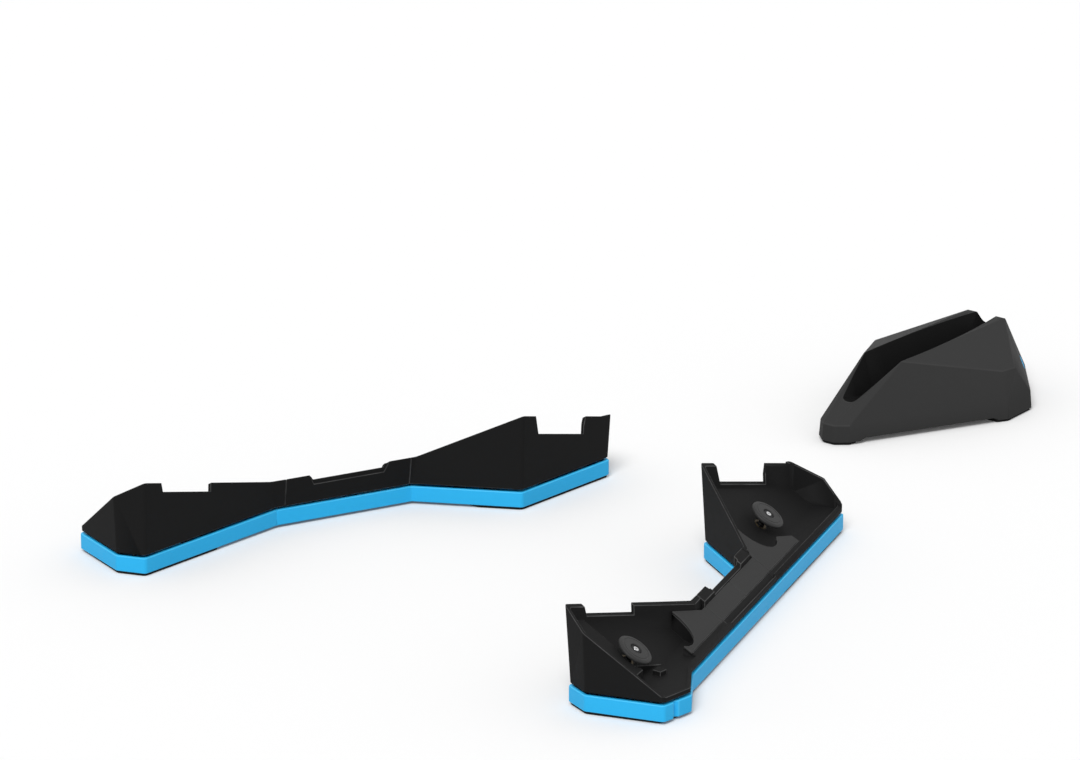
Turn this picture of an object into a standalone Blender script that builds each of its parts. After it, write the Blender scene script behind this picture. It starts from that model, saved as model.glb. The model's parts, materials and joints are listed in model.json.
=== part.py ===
# A pair of rolling floor plates for an indoor bicycle trainer, with a front-wheel riser block.
# Sizes are in millimetres and become metres where a mesh is made. +X is the way the bicycle
# faces, +Y is its left, and Z = 0 is the floor. Each plate is drawn for the left side and
# mirrored for the right.
import math

import bmesh
import bpy
from mathutils import Matrix, Vector

MM = 0.001

# plan of the left plate: X is counted from the front tray's rear inner corner
rear_inner_y = 287.0        # the wall between the bicycle and the rear tray
front_inner_y = 124.5       # the same wall of the front tray
rear_end_x = -415.0         # where the rear inner wall ends
rear_bevel = (-12.0, 31.0)  # from there to the foot of the sloping end wall
rear_end_run = (27.0, 79.0)     # from there to the rear outer corner
rear_outer_width = 41.0     # the short rear outer edge
rear_outer_rise = 1.5
front_tray_length = 147.0   # the front tray's inner wall, along X
front_end_run = (24.0, 55.5)    # from its front corner to the outer corner
rear_outer_corner_x = -314.0    # where the long outer edge meets the rear end
bar_angle = math.radians(20.75)     # the long outer edge and the bar, from the X axis
bar_width = 36.0
shoulder_angle = math.radians(30.2)     # the front tray's rear wall, from the Y axis
corner_round = 5.0
round_steps = 3
key_groove_depth = 4.0      # the small V in the base's rear outer edge
key_groove_width = 8.0
key_groove_offset = 14.0    # from the rear outer corner to its near side

# heights
foot_thick = 2.6
foot_inset = 2.0
rear_foot_end_x = -304.0
front_foot_end_x = -23.0
seat_gap = 0.3              # between pieces that rest on each other
base_low = foot_thick + seat_gap
base_high = 20.0
base_floor = 4.0
base_wall = 4.5
rib_thick = 3.0
rib_high = 16.0
roll_gap = 3.0              # the dark line between the base and the trays
tray_low = base_high + roll_gap
tray_floor = 3.5
sky = 160.0                 # above everything
cellar = -400.0             # below everything
rim_margin = 20.0           # the shells are drawn this far over the highest rim, which is then cut

# the tilted plane that the trays' rims, decks and floors follow
tilt = 0.7                  # rise for each millimetre away from the outer edge
rim_rise = 26.9             # height of the rim's plane over the outer edge
rim_least_rise = 1.1        # the rim stays this far over its plane's height at the outer edge
rim_least = rim_rise + rim_least_rise
deck_drop = 4.5             # from the rim's plane down to the decks
deck_thick = 2.6
floor_drop = 24.0           # from the rim's plane down to the tray floors
tilted_floor_end = 45.0     # how far the tilted floor reaches outward from the rear inner wall
ledge_drop = 13.0           # the ledge beside the rear end wall
ledge_width = 36.0
wall = 4.0
wall_lean = math.tan(math.radians(3.0))
bar_lean = math.tan(math.radians(9.0))
shell_inset = 1.2           # the black shell stands in from the blue base
bar_wall = 4.0              # at its foot: its outer face leans out
lip_width = 3.0             # along the outer edge
band_least_drop = 0.7       # the plain band outside the decks drops no lower under that height
band_least = rim_rise - band_least_drop
band_width = 11.5
under_wall = 5.0
pocket_across = 60.0        # the trays are hollow underneath from here inward

# seams across the bar, counted along the outer edge from its front corner
shell_seam = 237.0          # between the front tray and the bar, under the front cover
seam_front = 229.0
seam_middle = 309.0
seam_rear = 387.0
seam_gap = 0.4

# cut-outs in the walls: along X at their foot, and their slanted ends' widening for each rise
rear_notch = (-386.0, -316.0)
rear_notch_drop = 9.5
front_notch = (27.5, 101.0)
front_notch_drop = 19.4
notch_flare = 0.25
grip_centre = 311.0         # finger grip in the bar's wall, along the bar
grip_length = 84.0          # at its floor
grip_depth = 4.0
grip_flare = 60.0           # its ends' widening up to the sky
scoop_rise = 16.1           # the finger scoop under the grip, in the wall's face, over the rim's rise
scoop_across = 35.6
end_wall_points = ((0.0, 45.1), (37.5, 30.1), (58.0, 4.1))  # front end wall: run, height over the rim's rise
clip_at = (-347.0, 348.0)
clip_size = (10.0, 10.0, 5.0)

# decks: the round bites beside the legs' feet
bite_radius = 28.0
rear_bite = (-285.0, 305.0)
front_bite = (-8.0, 193.0)
rear_deck_back = -291.0     # X of the rear deck's last point on its bite
rear_deck_end = 486.0       # along the bar
front_deck_end = 128.0
front_deck_straight = (43.5, 208.3)
front_bite_stop = math.radians(34.0)

# height pads, on the decks' plane at rest
rear_pad_at = (-365.0, 333.0)
front_pad_at = (39.6, 180.5)
pad_radius = 19.3
pad_thick = 6.0
pad_edge = 1.6
pad_bore_radius = 6.2
pad_bore_depth = 2.4
screw_head_radius = 5.7
screw_head_thick = 1.9
screw_radius = 4.0
screw_reach = 8.5           # how far the stem stands in its insert at rest
insert_radius = 7.0
insert_depth = 10.0
running_gap = 0.35
pad_down = 2.5              # how far the pad travels into the tray
pad_room = 1.0              # around and under the pad at its lowest, where it dips past the ledge

# rollers
roller_radius = 7.5
roller_width = 12.0
roller_edge = 0.8
axle_radius = 2.5
axle_length = 25.0
housing_length = 34.0
housing_width = 29.0
housing_high = 18.5
pocket_gap = 1.5            # before and behind a roller
side_gap = 0.4              # beside a roller
rear_rollers = ((-366.0, 312.0), (-262.0, 318.0))
front_rollers = ((22.0, 150.0), (110.0, 176.0))
slide_travel = 25.0
track_width = 17.0

# travel stop
stop_at = (-320.0, 300.0)
stop_radius = 3.2
stop_boss_radius = 6.0
stop_boss_high = 18.0
stop_low = 8.3
stop_high = 31.0
stop_roof = 2.0             # between the post's top and its slot's roof

# riser block: along is X, across is counted from its middle, as a mirrored pair
block_middle_y = 12.0
block_outline_half = ((390.5, 8.0), (403.0, 22.5), (421.0, 23.0), (561.0, 93.0), (586.0, 106.0), (636.0, 101.0),
                      (714.0, 36.0))
block_skirt = 22.5
block_low = 3.0
skirt_draft = 1.5
lip_rear = (490.0, 26.5, 77.5)      # along, across, height
lip_front = (662.0, 26.5, 79.5)
lip_peak = (685.0, 26.0, 82.0)
crease_end = (593.5, 90.0, 54.0)
shoulder_end = (617.0, 90.5, 53.0)
groove_foot = (428.0, 40.0)         # the groove's floor: along, height
groove_crest = (691.0, 69.0)
groove_floor_half = 8.0
groove_flare = 0.35
groove_round = 8.0          # between its floor and its sides
wheel_radius = 350.0
groove_steps = 9
block_wall = 4.0
block_arch = 3.0
arch_start_x = 415.0
arch_stop_x = 575.0
arch_slope = 6.0
block_plate_thick = 2.5
badge_radius = 9.0
badge_sink = 1.2
badge_proud = 0.4
badge_at = (0.04, 0.24, 0.72)       # on its face: shares of the peak, the shoulder and the nose
round_sides = 28

# derived places of the left plate
slant = Vector((-math.cos(bar_angle), math.sin(bar_angle)))
inward = Vector((-slant.y, slant.x))
front_corner = Vector((front_tray_length + front_end_run[0], front_inner_y + front_end_run[1]))
pad_axis = Vector((-tilt * inward.x, -tilt * inward.y, 1.0)).normalized()
deck_to_floor = (floor_drop - deck_drop) * pad_axis.z       # square to the tilted planes
roller_height = tray_low - seat_gap - roller_radius


def bar_point(along, across):
    """A plan point: along the outer edge from its front corner, and in from that edge."""
    return front_corner + slant * along + inward * across


def across_of(point):
    return (Vector(point[:2]) - front_corner).dot(inward)


def along_of(point):
    return (Vector(point[:2]) - front_corner).dot(slant)


def tilted(drop):
    """The height of the tilted plane that lies drop below the rims, as a function of a plan point."""
    return lambda point: rim_rise - drop + tilt * across_of(point)


def meet(point_a, way_a, point_b, way_b):
    """Where two plan lines cross."""
    turn = way_a.x * way_b.y - way_a.y * way_b.x
    gap = point_b - point_a
    return point_a + way_a * ((gap.x * way_b.y - gap.y * way_b.x) / turn)


def grown(points, steps):
    """Move each edge of a clockwise outline outward by its own step."""
    count = len(points)
    moved = []
    for i in range(count):
        before, here, after = (Vector(points[(i + k) % count]) for k in (-1, 0, 1))
        way_in = (here - before).normalized()
        way_out = (after - here).normalized()
        side_in = Vector((-way_in.y, way_in.x)) * steps[(i - 1) % count]
        side_out = Vector((-way_out.y, way_out.x)) * steps[i]
        if abs(way_in.cross(way_out)) < 1e-3:
            moved.append(here + side_out)
        else:
            moved.append(meet(here + side_in, way_in, here + side_out, way_out))
    return moved


def rounded(points, radius, sharp=()):
    """Replace each corner by a short arc, apart from those whose numbers are in sharp."""
    out = []
    count = len(points)
    for i in range(count):
        before, here, after = (Vector(points[(i + k) % count]) for k in (-1, 0, 1))
        to_before = (before - here).normalized()
        to_after = (after - here).normalized()
        half = to_before.angle(to_after) / 2
        if i in sharp or half > math.radians(85):
            out.append(here)
            continue
        reach = radius / math.tan(half)
        centre = here + (to_before + to_after).normalized() * (radius / math.sin(half))
        first = here + to_before * reach - centre
        last = here + to_after * reach - centre
        sweep = math.atan2(first.x * last.y - first.y * last.x, first.dot(last))
        for k in range(round_steps + 1):
            out.append(centre + Matrix.Rotation(sweep * k / round_steps, 2) @ first)
    return out


def clipped(points, keep):
    """The part of an outline where keep(point) is positive; keep is linear in the plan."""
    out = []
    for i, here in enumerate(points):
        after = points[(i + 1) % len(points)]
        now, then = keep(here), keep(after)
        if now >= 0:
            out.append(here)
        if (now < 0) != (then < 0):
            out.append(here + (after - here) * (now / (now - then)))
    return out


def arc_points(centre, radius, start, stop, steps):
    """Points of a plan arc, both ends included."""
    return [Vector(centre) + radius * Vector((math.cos(start + (stop - start) * k / steps),
                                              math.sin(start + (stop - start) * k / steps)))
            for k in range(steps + 1)]


# corners of the left plate, clockwise seen from above
rear_inner = Vector((rear_end_x, rear_inner_y))
rear_low = rear_inner + Vector(rear_bevel)
rear_outer = rear_low + Vector(rear_end_run)
rear_last = rear_outer + Vector((rear_outer_width, rear_outer_rise))
outer_start = bar_point((front_corner.x - rear_outer_corner_x) / math.cos(bar_angle), 0.0)
front_inner = Vector((front_tray_length, front_inner_y))
shoulder = Vector((0.0, front_inner_y))
shoulder_way = Vector((-math.sin(shoulder_angle), math.cos(shoulder_angle)))
bar_front = meet(shoulder, shoulder_way, bar_point(0.0, bar_width), slant)
bar_rear = meet(rear_inner, Vector((1.0, 0.0)), bar_point(0.0, bar_width), slant)
shell_corners = [rear_inner, rear_low, rear_outer, rear_last, outer_start,
                 front_corner, front_inner, shoulder, bar_front, bar_rear]
shell_top = max(tilted(0.0)(corner) for corner in shell_corners) + rim_margin
# how far each edge's wall leans outward for each millimetre of height
leans = (wall_lean, wall_lean, 0.0, 0.0, 0.0, wall_lean, wall_lean, wall_lean, bar_lean, wall_lean)

edge_way = (rear_last - rear_outer).normalized()
groove_way = Vector((edge_way.y, -edge_way.x))
key_near = rear_outer + edge_way * key_groove_offset
key_deep = key_near + edge_way * key_groove_width / 2 + groove_way * key_groove_depth
key_far = key_near + edge_way * key_groove_width
base_corners = shell_corners[:3] + [key_near, key_deep, key_far] + shell_corners[3:]
base_outline = rounded(base_corners, corner_round, sharp=(3, 4, 5))

# the riser block's plan, and the middle of the whole set along X, which is the frame's origin
def block_point(along, across):
    return Vector((along, block_middle_y + across))


# clockwise seen from above: the right side from front to rear, then the left side
block_corners = ([block_point(a, -b) for a, b in block_outline_half[::-1]]
                 + [block_point(a, b) for a, b in block_outline_half])
block_outline = rounded(block_corners, corner_round)
middle_x = (min(p.x for p in base_outline) + max(p.x for p in block_outline)) / 2

for old in list(bpy.data.objects):
    bpy.data.objects.remove(old, do_unlink=True)
parts = bpy.data.collections.new("trainer_rocker_plate")
cutters = bpy.data.collections.new("cutters")
for group in (parts, cutters):
    bpy.context.scene.collection.children.link(group)


def make_material(name, colour, roughness, metallic=0.0):
    material = bpy.data.materials.new(name)
    material.use_nodes = True
    surface = material.node_tree.nodes["Principled BSDF"]
    surface.inputs["Base Color"].default_value = (*colour, 1.0)
    surface.inputs["Roughness"].default_value = roughness
    surface.inputs["Metallic"].default_value = metallic
    material.diffuse_color = (*colour, 1.0)
    return material


blue_plastic = make_material("blue_plastic", (0.03, 0.42, 0.78), 0.45)
black_plastic = make_material("black_plastic", (0.012, 0.012, 0.013), 0.5)
deck_plastic = make_material("deck_plastic", (0.03, 0.03, 0.032), 0.6)
block_plastic = make_material("block_plastic", (0.025, 0.025, 0.027), 0.6)
roller_plastic = make_material("roller_plastic", (0.75, 0.75, 0.72), 0.4)
rubber = make_material("rubber", (0.015, 0.015, 0.015), 0.9)
steel = make_material("steel", (0.62, 0.62, 0.63), 0.3, 1.0)
brass = make_material("brass", (0.6, 0.42, 0.16), 0.35, 1.0)


def world(point, height):
    """A plan point in millimetres and a height, as a place in the scene."""
    return Vector((point[0] - middle_x, point[1], height)) * MM


def finish_mesh(name, bm, home, material, group):
    """Turn a bmesh, built about its home, into an object."""
    bmesh.ops.recalc_face_normals(bm, faces=bm.faces)
    mesh = bpy.data.meshes.new(name)
    bm.to_mesh(mesh)
    bm.free()
    thing = bpy.data.objects.new(name, mesh)
    thing.location = home
    group.objects.link(thing)
    if material:
        mesh.materials.append(material)
    else:
        thing.hide_render = True
        thing.display_type = "WIRE"
    return thing


def loft(name, start, end, material=None):
    """A closed body between two rings of scene points with as many corners; no material: a cutter."""
    home = sum(start, Vector()) / len(start)
    bm = bmesh.new()
    corner = bm.verts.layers.int.new("corner")
    ring = [bm.verts.new(point - home) for point in start]
    for number, vert in enumerate(ring):
        vert[corner] = number
    face = bm.faces.new(ring)
    grown_part = bmesh.ops.extrude_face_region(bm, geom=[face])
    for vert in grown_part["geom"]:
        if isinstance(vert, bmesh.types.BMVert):
            vert.co = end[vert[corner]] - home
    return finish_mesh(name, bm, home, material, parts if material else cutters)


def slab(name, outline, low, high, material=None, top=None):
    """A body over a plan outline; low and high are heights, or functions of a plan point."""
    low_at = low if callable(low) else lambda point: low
    high_at = high if callable(high) else lambda point: high
    return loft(name, [world(p, low_at(p)) for p in outline],
                [world(p, high_at(p)) for p in (top or outline)], material)


def strip(name, profile, start, stop, material=None):
    """A bar of constant section: profile holds (across, height), swept along the outer edge."""
    return loft(name, [world(bar_point(start, across), height) for across, height in profile],
                [world(bar_point(stop, across), height) for across, height in profile], material)


def box_outline(centre, length, width):
    x, y = centre
    return [Vector((x - length / 2, y - width / 2)), Vector((x - length / 2, y + width / 2)),
            Vector((x + length / 2, y + width / 2)), Vector((x + length / 2, y - width / 2))]


def rod(name, place, axis, radius, low, high, material=None, sides=round_sides):
    """A cylinder from low to high along an axis through a scene point."""
    bm = bmesh.new()
    turn = Vector((0, 0, 1)).rotation_difference(axis).to_matrix().to_4x4()
    rise = Matrix.Translation((0, 0, (low + high) / 2 * MM))
    bmesh.ops.create_cone(bm, cap_ends=True, segments=sides, radius1=radius * MM, radius2=radius * MM,
                          depth=(high - low) * MM, matrix=turn @ rise)
    return finish_mesh(name, bm, place, material, parts if material else cutters)


def turned(name, place, axis, profile, material):
    """A ring turned about an axis: its closed profile of (radius, height) runs down its outer side."""
    mesh = bpy.data.meshes.new(name)
    points = [(radius * MM, 0.0, height * MM) for radius, height in profile]
    links = [(i, (i + 1) % len(points)) for i in range(len(points))]
    mesh.from_pydata(points, links, [])
    thing = bpy.data.objects.new(name, mesh)
    thing.location = place
    thing.rotation_mode = "QUATERNION"
    thing.rotation_quaternion = Vector((0, 0, 1)).rotation_difference(axis)
    mesh.materials.append(material)
    parts.objects.link(thing)
    screw = thing.modifiers.new("turn", "SCREW")
    screw.steps = round_sides
    screw.render_steps = round_sides
    screw.use_merge_vertices = True
    screw.merge_threshold = 0.00001
    return thing


def cut(body, *tools):
    """Take each tool away from a body."""
    for tool in tools:
        boolean = body.modifiers.new(tool.name, "BOOLEAN")
        boolean.operation = "DIFFERENCE"
        boolean.solver = "EXACT"
        boolean.object = tool
    return body


def all_edges(step):
    return [step] * len(shell_corners)


def leaning_pair(inset, low, high):
    """The shell's outline moved in by an inset for each edge, at two heights."""
    bottom = [lean * (low - tray_low) - step for lean, step in zip(leans, inset)]
    top = [lean * (high - tray_low) - step for lean, step in zip(leans, inset)]
    return (rounded(grown(shell_corners, bottom), corner_round),
            rounded(grown(shell_corners, top), corner_round))


def cut_pair(pair, keep):
    """Clip a leaning pair of outlines at a seam: both keep the same corners."""
    inside = [keep(point) >= 0 for point in pair[0]]
    out = ([], [])
    count = len(inside)
    for i in range(count):
        after = (i + 1) % count
        for outline, result in zip(pair, out):
            if inside[i]:
                result.append(outline[i])
            if inside[i] != inside[after]:
                now, then = keep(outline[i]), keep(outline[after])
                result.append(outline[i] + (outline[after] - outline[i]) * (now / (now - then)))
    return out


def rear_side(margin):
    return lambda point: along_of(point) - seam_rear - margin


def front_side(margin):
    return lambda point: shell_seam - margin - along_of(point)


def middle_part(pair):
    half = seam_gap / 2
    rear_cut = cut_pair(pair, lambda point: seam_rear - half - along_of(point))
    return cut_pair(rear_cut, lambda point: along_of(point) - shell_seam - half)


def above_rim(name, stop_run):
    """Everything over the rims' plane; it stops short of the front end wall by stop_run."""
    flat_across = (rim_least - rim_rise) / tilt
    far = 400.0
    profile = ((-far, rim_least), (flat_across, rim_least), (far, rim_rise + tilt * far),
               (far, rim_rise + tilt * far + sky), (-far, rim_rise + tilt * far + sky))
    body = strip(name, profile, -far, 3 * far)
    if stop_run:
        end_way = Vector(front_end_run).normalized()
        aside = Vector((-end_way.y, end_way.x)) * (shell_inset + stop_run)
        foot = front_inner + aside - end_way * far
        head = foot + end_way * 2 * far
        ahead = Vector((far, 0.0))
        cut(body, slab(name + "_keep", [foot, head, head + ahead, foot + ahead], cellar, 4 * far))
    return body


def above_end_wall(name):
    """Everything over the front end wall's curved top, from inside the wall to beyond it."""
    end_way = Vector(front_end_run).normalized()
    side = Vector((end_way.y, -end_way.x))
    points = [(run, rim_rise + height) for run, height in end_wall_points]
    rise = (points[1][1] - points[0][1]) / (points[1][0] - points[0][0])
    profile = [(-40.0, points[0][1] - 40.0 * rise)] + points + [(80.0, rim_least), (80.0, sky), (-40.0, sky)]
    inside = shell_inset + wall + 0.4
    inner = [world(front_inner + end_way * run - side * inside, height) for run, height in profile]
    outer = [world(front_inner + end_way * run + side * 30.0, height) for run, height in profile]
    return loft(name, inner, outer)


def leg_notch(name, span, wall_y, drop):
    """A cut through an inner wall, with slanted ends and a floor that follows the rim's tilt."""
    foot = tilted(drop)((sum(span) / 2, wall_y))
    widest = notch_flare * (sky - foot)
    rings = [[world((span[0], y), cellar), world((span[0], y), foot), world((span[0] - widest, y), sky),
              world((span[1] + widest, y), sky), world((span[1], y), foot), world((span[1], y), cellar)]
             for y in (wall_y - 20.0, wall_y + wall + 6.0)]
    floor = slab(name + "_floor", box_outline((sum(span) / 2, wall_y), 300.0, 200.0), 2 * cellar, tilted(drop))
    return cut(loft(name, *rings), floor)


def deck_rear_outline(gap):
    """The rear deck: along the inner wall, the bar's wall, the seam and the band, then round its bite."""
    wall_line = rear_inner_y + shell_inset + wall + seat_gap - gap
    inner_side = bar_width - shell_inset - bar_wall - seat_gap + gap
    centre = Vector(rear_bite)
    radius = bite_radius + seat_gap - gap
    reach = math.asin((wall_line - centre.y) / radius)
    back = math.acos((rear_deck_back - centre.x) / radius)
    seam = seam_rear + seam_gap / 2 + seat_gap - gap
    band_side = band_width + seat_gap - gap
    bite = arc_points(centre, radius, back, reach, 8)
    bend = meet(Vector((0.0, wall_line)), Vector((1.0, 0.0)), bar_point(0.0, inner_side), slant)
    return (bite[::-1] + [bar_point(rear_deck_end, band_side), bar_point(seam, band_side),
                          bar_point(seam, inner_side), bend])


def deck_front_outline(gap):
    """The front deck: from the seam along the band, then round its bite to the shoulder's wall."""
    inset = shell_inset + wall + seat_gap - gap
    aside = Vector((shoulder_way.y, -shoulder_way.x))
    wall_foot = shoulder + aside * inset
    centre = Vector(front_bite)
    radius = bite_radius + seat_gap - gap
    offset = wall_foot - centre
    half = offset.dot(shoulder_way)
    reach = -half + math.sqrt(half * half - offset.length_squared + radius * radius)
    meeting = wall_foot + shoulder_way * reach - centre
    seam = seam_front - seam_gap / 2 - seat_gap + gap
    across_wall = meet(wall_foot, shoulder_way, bar_point(seam, 0.0), inward)
    bite = arc_points(centre, radius, math.atan2(meeting.y, meeting.x), front_bite_stop, 8)
    band_side = band_width + seat_gap - gap
    return ([across_wall, bar_point(seam, band_side), bar_point(front_deck_end, band_side),
             Vector(front_deck_straight)] + bite[::-1])


def cover_outline(start, stop, gap):
    inner_side = bar_width - shell_inset - bar_wall - seat_gap + gap
    band_side = band_width + seat_gap - gap
    low, high = start + seat_gap - gap, stop - seat_gap + gap
    return [bar_point(low, inner_side), bar_point(low, band_side),
            bar_point(high, band_side), bar_point(high, inner_side)]


def band_strip(name, start, stop, inner):
    """The plain sloping band outside the decks, down to below the tray."""
    bend = (band_least - rim_rise + deck_drop) / tilt
    profile = ((-40.0, cellar), (-40.0, band_least), (bend, band_least),
               (inner, rim_rise - deck_drop + tilt * inner), (inner, cellar))
    return strip(name, profile, start, stop)


def cover_seat(name):
    """What the front tray carries of the front cover's seat."""
    inner_side = bar_width - shell_inset - bar_wall
    return slab(name, [bar_point(seam_front - 3.0, inner_side), bar_point(seam_front - 3.0, band_width),
                       bar_point(shell_seam + 12.0, band_width), bar_point(shell_seam + 12.0, inner_side)],
                cellar, tilted(deck_drop + deck_thick + seat_gap))


def pad_place(at):
    """The middle of a pad's top at rest."""
    return world(at, tilted(deck_drop)(at))


def insert_hole(name, at):
    """The hole that an insert sits in, and the stem's way out below it."""
    wide = rod(name, pad_place(at), pad_axis, insert_radius + seat_gap,
               -deck_to_floor - insert_depth - seat_gap, -deck_to_floor + 30.0)
    narrow = rod(name + "_way", pad_place(at), pad_axis, screw_radius + running_gap,
                 -deck_to_floor - screw_reach - pad_down - 1.0, -deck_to_floor)
    return wide, narrow


def pad_well(name, at):
    """The pad's room in its tray: at its lowest it would else meet the ledge."""
    return rod(name, pad_place(at), pad_axis, pad_radius + pad_room, -pad_thick - pad_down - pad_room, 0.0)


def under_pocket(name, keep, rollers, pads, extra=()):
    """The hollow under a tray's high side, which leaves the rollers' tracks and the inserts' bosses."""
    inset = [shell_inset + wall + 0.5] * len(shell_corners)
    outline = clipped(leaning_pair(inset, tray_low, tray_low)[0], keep)
    outline = clipped(outline, lambda point: across_of(point) - pocket_across)
    body = slab(name, outline, 0.0, tilted(floor_drop + under_wall))
    track_length = 2 * (slide_travel + roller_radius + 1.5)
    for number, place in enumerate(rollers):
        cut(body, slab("%s_track_%d" % (name, number), box_outline(place, track_length, track_width), cellar, sky))
    for number, at in enumerate(pads):
        foot = pad_place(at) / MM + pad_axis * (-deck_to_floor - insert_depth / 2)
        boss = world((foot.x + middle_x, foot.y), 0.0)
        cut(body, rod("%s_boss_%d" % (name, number), boss, Vector((0, 0, 1)), insert_radius + 4.0, cellar, sky))
    return cut(body, *extra)


def make_tray(name, keep, wide_keep, lumps, notch, pocket, pad_at):
    """One tray: a leaning shell, hollowed down to its floor, with its leg notch and underside pocket."""
    pair = cut_pair(leaning_pair(all_edges(shell_inset), tray_low, shell_top), keep)
    body = slab(name, pair[0], tray_low, shell_top, black_plastic, pair[1])
    inner = leaning_pair([shell_inset + wall] * 8 + [shell_inset + bar_wall, shell_inset + wall], tray_low, shell_top)
    inner = cut_pair(inner, wide_keep)
    hollow = slab(name + "_hollow", inner[0], tray_low, shell_top, top=inner[1])
    cut(hollow, slab(name + "_floor", box_outline((-120.0, 240.0), 800.0, 500.0), cellar,
                     tray_low + tray_floor), *lumps)
    return cut(body, above_rim(name + "_above", wall), above_end_wall(name + "_end"), hollow, notch, pocket,
               pad_well(name + "_well", pad_at), *insert_hole(name + "_insert", pad_at))


def make_rear_tray():
    seam = seam_gap / 2
    tilted_end = rear_inner_y + tilted_floor_end
    floor_area = [Vector((-600.0, 0.0)), Vector((-600.0, tilted_end)), Vector((0.0, tilted_end)), Vector((0.0, 0.0))]
    end_way = (rear_outer - rear_low).normalized()
    aside = Vector((end_way.y, -end_way.x)) * (shell_inset + wall + ledge_width)
    foot, head = rear_low - end_way * 60.0, rear_low + end_way * 46.0
    ledge = [foot - aside, head - aside, head + aside, foot + aside]
    lumps = (slab("rear_floor", floor_area, cellar, tilted(floor_drop)),
             slab("rear_ledge", ledge, cellar, tilted(ledge_drop)),
             slab("rear_pedestal", deck_rear_outline(0.0), cellar, tilted(deck_drop + deck_thick + seat_gap)),
             band_strip("rear_band", seam_rear - 10.0, rear_deck_end, band_width),
             slab("rear_clip", box_outline(clip_at, *clip_size[:2]), cellar, tray_low + tray_floor + clip_size[2]))
    stop_length = 2 * (slide_travel + stop_radius + seat_gap)
    rib = slab("rear_stop_rib", box_outline(stop_at, stop_length + 8.0, 2 * stop_radius + 10.0), cellar, sky)
    pocket = under_pocket("rear_pocket", rear_side(5.0), rear_rollers, [rear_pad_at], [rib])
    notch = leg_notch("rear_notch", rear_notch, rear_inner_y, rear_notch_drop)
    body = make_tray("left_rear_tray", rear_side(seam), rear_side(-5.0), lumps, notch, pocket, rear_pad_at)
    slot = slab("stop_slot", box_outline(stop_at, stop_length, 2 * (stop_radius + seat_gap)), 0.0,
                stop_high + stop_roof)
    return cut(body, slot)


def make_front_tray():
    seam = seam_gap / 2
    floor_area = box_outline((60.0, 200.0), 500.0, 400.0)
    lumps = (slab("front_floor", floor_area, cellar, tilted(floor_drop)),
             slab("front_pedestal", deck_front_outline(0.0), cellar, tilted(deck_drop + deck_thick + seat_gap)),
             cover_seat("front_cover_seat"),
             band_strip("front_band", front_deck_end, shell_seam + 10.0, band_width))
    pocket = under_pocket("front_pocket", front_side(5.0), front_rollers, [front_pad_at])
    notch = leg_notch("front_notch", front_notch, front_inner_y, front_notch_drop)
    return make_tray("left_front_tray", front_side(seam), front_side(-5.0), lumps, notch, pocket, front_pad_at)


def make_bar_beam():
    """The beam between the trays, with seats for its two covers and a finger grip in its wall."""
    pair = middle_part(leaning_pair(all_edges(shell_inset), tray_low, shell_top))
    body = slab("left_bar_beam", pair[0], tray_low, shell_top, black_plastic, pair[1])
    inner = bar_width - shell_inset - bar_wall
    bend = (band_least - rim_rise + deck_drop) / tilt
    deck_at = rim_rise - deck_drop
    top = strip("bar_top", ((lip_width, band_least), (bend, band_least), (inner, deck_at + tilt * inner),
                            (inner, sky), (lip_width, sky)), 100.0, 500.0)
    seat_at = deck_at - deck_thick - seat_gap
    seat = strip("bar_seat", ((band_width, seat_at + tilt * band_width), (inner, seat_at + tilt * inner),
                              (inner, sky), (band_width, sky)), 100.0, 500.0)
    half = grip_length / 2
    grips = []
    for name, side, low in (("bar_grip", inner - 0.15, tilted(grip_depth)), ("bar_scoop", scoop_across, rim_rise + scoop_rise)):
        foot, head = ([bar_point(grip_centre - reach, side), bar_point(grip_centre + reach, side),
                       bar_point(grip_centre + reach, 60.0), bar_point(grip_centre - reach, 60.0)]
                      for reach in (half, half + grip_flare))
        grips.append(slab(name, foot, low, sky, top=head))
    hollow_floor = seat_at - under_wall + 1.5
    under_start = max(8.0, (tray_low + 1.0 - hollow_floor) / tilt)
    under = []
    for number, (start, stop) in enumerate(((shell_seam + 4.0, seam_middle - 3.0), (seam_middle + 3.0, seam_rear - 5.0))):
        under.append(strip("bar_under_%d" % number, ((under_start, 0.0), (under_start, hollow_floor + tilt * under_start),
                                                     (inner - 1.0, hollow_floor + tilt * (inner - 1.0)),
                                                     (inner - 1.0, 0.0)), start, stop))
    return cut(body, above_rim("bar_above", 0.0), top, seat, *grips, *under)


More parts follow.
